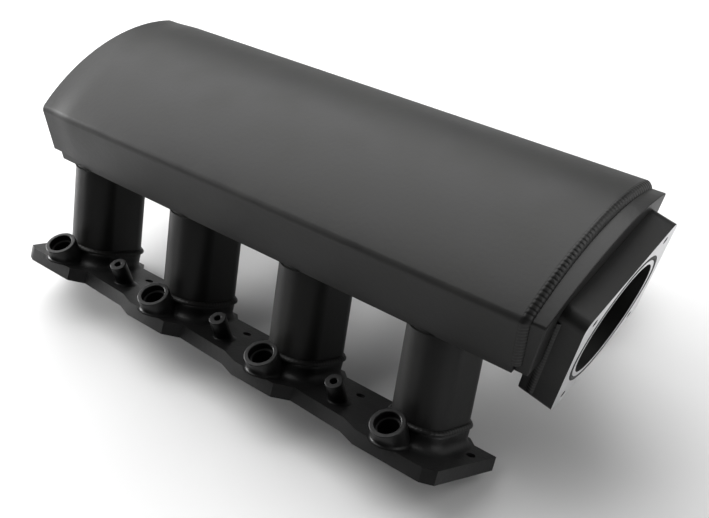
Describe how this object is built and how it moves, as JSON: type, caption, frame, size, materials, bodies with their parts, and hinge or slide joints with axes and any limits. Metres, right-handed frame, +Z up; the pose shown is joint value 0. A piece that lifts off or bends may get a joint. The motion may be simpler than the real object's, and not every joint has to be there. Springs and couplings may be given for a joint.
{
  "type": "intake manifold",
  "caption": "Fabricated intake manifold: arched plenum on rounded rectangular runners, head flanges with injector bosses, and a nose-down round throttle opening.",
  "frame": {"origin": "under the middle of the manifold, at the height of the lowest edge of the head flanges", "axes": "+X along the plenum toward the throttle opening, +Z up, -Y toward the near bank of ports"},
  "size_m": [0.4926, 0.253, 0.1799],
  "materials": {
    "black_coat": "satin black coating over welded aluminium",
    "block_metal": "satin black outside with a bright machined front face",
    "seal_rubber": "matt moulded rubber",
    "plug_steel": "plain zinc-plated steel"
  },
  "bodies": {
    "root": {"plenum_cover": "black_coat", "plenum_floor": "black_coat", "rear_plate": "black_coat", "front_plate": "black_coat", "throttle_flange": "block_metal", "throttle_o_ring": "seal_rubber", "head_flange_near": "black_coat", "head_flange_far": "black_coat", "runner_near_1": "black_coat", "runner_near_2": "black_coat", "runner_near_3": "black_coat", "runner_near_4": "black_coat", "runner_far_1": "black_coat", "runner_far_2": "black_coat", "runner_far_3": "black_coat", "runner_far_4": "black_coat", "port_foot_near_1": "black_coat", "port_foot_near_2": "black_coat", "port_foot_near_3": "black_coat", "port_foot_near_4": "black_coat", "port_foot_far_1": "black_coat", "port_foot_far_2": "black_coat", "port_foot_far_3": "black_coat", "port_foot_far_4": "black_coat", "injector_boss_near_1": "black_coat", "injector_boss_near_2": "black_coat", "injector_boss_near_3": "black_coat", "injector_boss_near_4": "black_coat", "injector_boss_far_1": "black_coat", "injector_boss_far_2": "black_coat", "injector_boss_far_3": "black_coat", "injector_boss_far_4": "black_coat", "port_seal_near_1": "seal_rubber", "port_seal_near_2": "seal_rubber", "port_seal_near_3": "seal_rubber", "port_seal_near_4": "seal_rubber", "port_seal_far_1": "seal_rubber", "port_seal_far_2": "seal_rubber", "port_seal_far_3": "seal_rubber", "port_seal_far_4": "seal_rubber", "rail_post_near_1": "black_coat", "rail_post_near_2": "black_coat", "rail_post_near_3": "black_coat", "rail_post_far_1": "black_coat", "rail_post_far_2": "black_coat", "rail_post_far_3": "black_coat", "vacuum_bung": "black_coat", "vacuum_plug": "plug_steel", "sensor_bung": "black_coat"}
  },
  "joints": []
}
